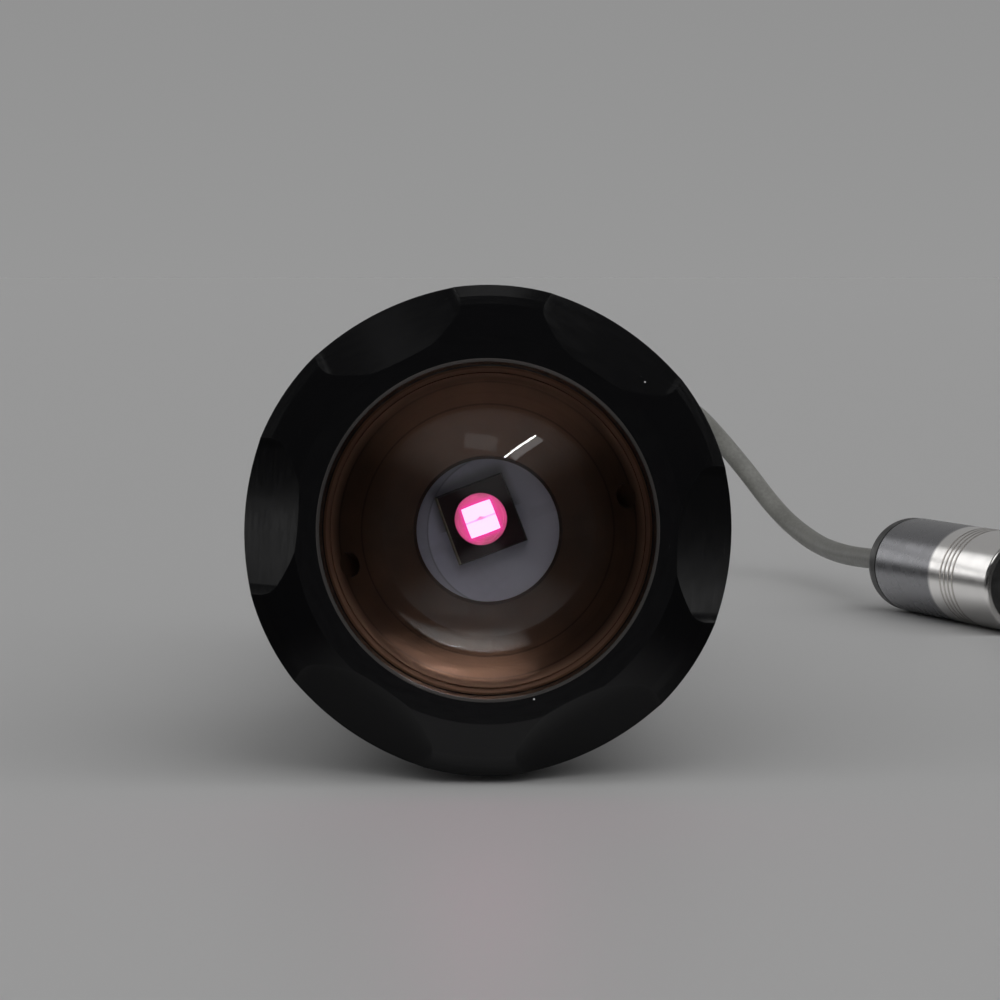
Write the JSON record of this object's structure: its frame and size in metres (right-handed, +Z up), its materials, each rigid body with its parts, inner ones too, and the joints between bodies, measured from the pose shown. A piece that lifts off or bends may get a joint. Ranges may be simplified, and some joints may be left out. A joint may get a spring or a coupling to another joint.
{
  "type": "infrared illuminator",
  "caption": "Torch-shaped infrared illuminator with a sliding focus head, an aspheric lens over a single emitter, and a short supply lead with an in-line socket.",
  "frame": {"origin": "on the surface that the lamp lies on, midway along the lamp from the bezel to the gland nut and below its centre line, without the lead and its socket", "axes": "+Y from the bezel towards the tail (light leaves along -Y), +Z up, +X to the right seen from in front of the lens; the lamp's own axis is tilted 3.8 degrees down towards the tail"},
  "size_m": [0.0852, 0.2184, 0.0393],
  "materials": {
    "black_anodised": "satin black anodising over fine turning marks",
    "lens_glass": "clear pressed glass, polished",
    "silicone": "soft black silicone",
    "black_steel": "black oxide",
    "black_rubber": "matte black",
    "brown_metal": "copper-brown, satin, turned",
    "board_mask": "pale grey-white solder mask",
    "package_black": "black moulding compound",
    "dome_silicone": "clear silicone, glossy",
    "chip_light": "lit die, emissive",
    "bare_aluminium": "turned, uncoated",
    "board_green": "solder mask",
    "ferrite": "dark ferrite",
    "chip_black": "moulded",
    "capacitor_tan": "tan ceramic",
    "wire_red": "insulation",
    "wire_black": "insulation",
    "black_nylon": "moulded nylon",
    "lead_jacket": "grey jacket, satin",
    "nickel": "nickel plated, bright",
    "socket_black": "moulded"
  },
  "bodies": {
    "barrel": {"body_tube": "black_anodised", "slide_ring_front": "black_rubber", "slide_ring_rear": "black_rubber", "tail_ring": "black_rubber", "pill_retainer": "brown_metal", "led_board": "board_mask", "led_package": "package_black", "led_chip": "chip_light", "led_dome": "dome_silicone", "pill": "bare_aluminium", "driver_board": "board_green", "driver_inductor": "ferrite", "driver_chip": "chip_black", "driver_capacitor": "capacitor_tan", "lamp_wire_red": "wire_red", "lamp_wire_black": "wire_black", "supply_wire_red": "wire_red", "supply_wire_black": "wire_black", "tail_cap": "black_anodised", "gland_body": "black_nylon", "gland_seal": "black_rubber", "gland_nut": "black_nylon", "strain_relief": "black_rubber", "lead_inner": "lead_jacket", "lead": "lead_jacket", "socket_shell": "nickel", "socket_rear_cap": "socket_black", "socket_insulator": "socket_black", "socket_pin": "nickel", "socket_contact": "nickel", "socket_lead_end": "lead_jacket"},
    "head": {"bezel_ring": "black_anodised", "lens": "lens_glass", "lens_gasket": "silicone", "head_sleeve": "black_anodised", "guide_screw": "black_steel"}
  },
  "joints": [
    {"name": "focus", "type": "slide", "parent": "barrel", "child": "head", "axis": [0, -0.9978, 0.0664], "range_m": [0, 0.014]}
  ]
}
